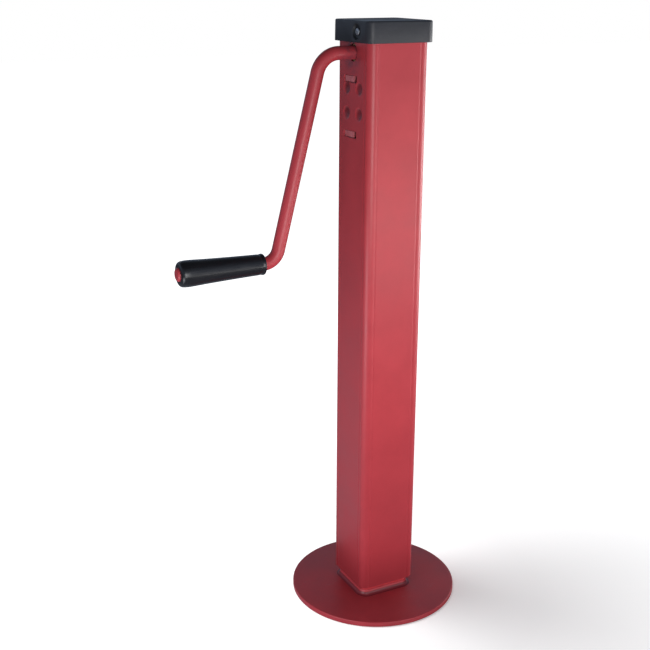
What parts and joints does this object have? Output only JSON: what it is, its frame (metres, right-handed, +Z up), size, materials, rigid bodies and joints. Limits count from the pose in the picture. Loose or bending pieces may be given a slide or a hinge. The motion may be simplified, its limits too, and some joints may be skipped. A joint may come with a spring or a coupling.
{
  "type": "trailer tongue jack",
  "caption": "Weld-on side-wind trailer jack: square telescoping tubes, round foot plate, cranked handle, black cap, screw and bevel gears inside.",
  "frame": {"origin": "centre of the foot plate's underside, on the tubes' axis, with the leg retracted", "axes": "+Z up the tubes, the crank handle sticks out towards -X, the plain weld faces are -Y and +Y"},
  "size_m": [0.3293, 0.192, 0.655],
  "materials": {
    "red_paint": "satin",
    "black_plastic": "satin",
    "grip_plastic": "gloss",
    "zinc_steel": "satin",
    "bare_steel": "satin",
    "dark_steel": "matte",
    "bronze": "satin"
  },
  "bodies": {
    "housing": {"outer_tube": "red_paint", "top_cap": "black_plastic", "cap_screw_left": "zinc_steel", "cap_screw_right": "zinc_steel", "crank_bush": "bronze", "far_bush": "bronze", "carrier_top_plate": "red_paint", "carrier_bottom_plate": "red_paint", "carrier_cheek_left": "dark_steel", "carrier_cheek_right": "dark_steel", "upper_thrust_race": "bare_steel"},
    "screw": {"lead_screw": "bare_steel", "crown_gear": "dark_steel", "crown_gear_pin": "bare_steel", "crown_gear_washer": "bronze", "lower_thrust_race": "bare_steel", "screw_stop_washer": "zinc_steel", "screw_stop_pin": "bare_steel"},
    "ball_cage": {"thrust_ball_cage": "bronze"},
    "crank": {"crank_rod": "red_paint", "bevel_pinion": "dark_steel", "pinion_drive_pin": "bare_steel", "shaft_retaining_ring": "bare_steel"},
    "grip": {"crank_grip": "grip_plastic"},
    "leg": {"inner_tube": "red_paint", "foot_plate": "red_paint", "foot_weld": "red_paint", "nut_plate": "dark_steel", "leg_nut": "bronze"}
  },
  "joints": [
    {"name": "crank_spin", "type": "hinge", "parent": "housing", "child": "crank", "pos_m": [0, 0, 0.623], "axis": [1, 0, 0], "range_deg": [0, 54000]},
    {"name": "screw_spin", "type": "hinge", "parent": "housing", "child": "screw", "pos_m": [0, 0, 0.623], "axis": [0, 0, 1], "range_deg": [0, 27000]},
    {"name": "bearing_spin", "type": "hinge", "parent": "housing", "child": "ball_cage", "pos_m": [0, 0, 0.588], "axis": [0, 0, 1], "range_deg": [0, 13500]},
    {"name": "leg_extend", "type": "slide", "parent": "housing", "child": "leg", "axis": [0, 0, -1], "range_m": [0, 0.375]},
    {"name": "grip_spin", "type": "hinge", "parent": "crank", "child": "grip", "pos_m": [-0.185, 0, 0.413], "axis": [1, 0, 0], "continuous": true}
  ],
  "couplings": [
    {"joint": "screw_spin", "follows": "crank_spin", "ratio": 0.5},
    {"joint": "bearing_spin", "follows": "crank_spin", "ratio": 0.25},
    {"joint": "leg_extend", "follows": "crank_spin", "m_per_rad": 0.00039788}
  ]
}
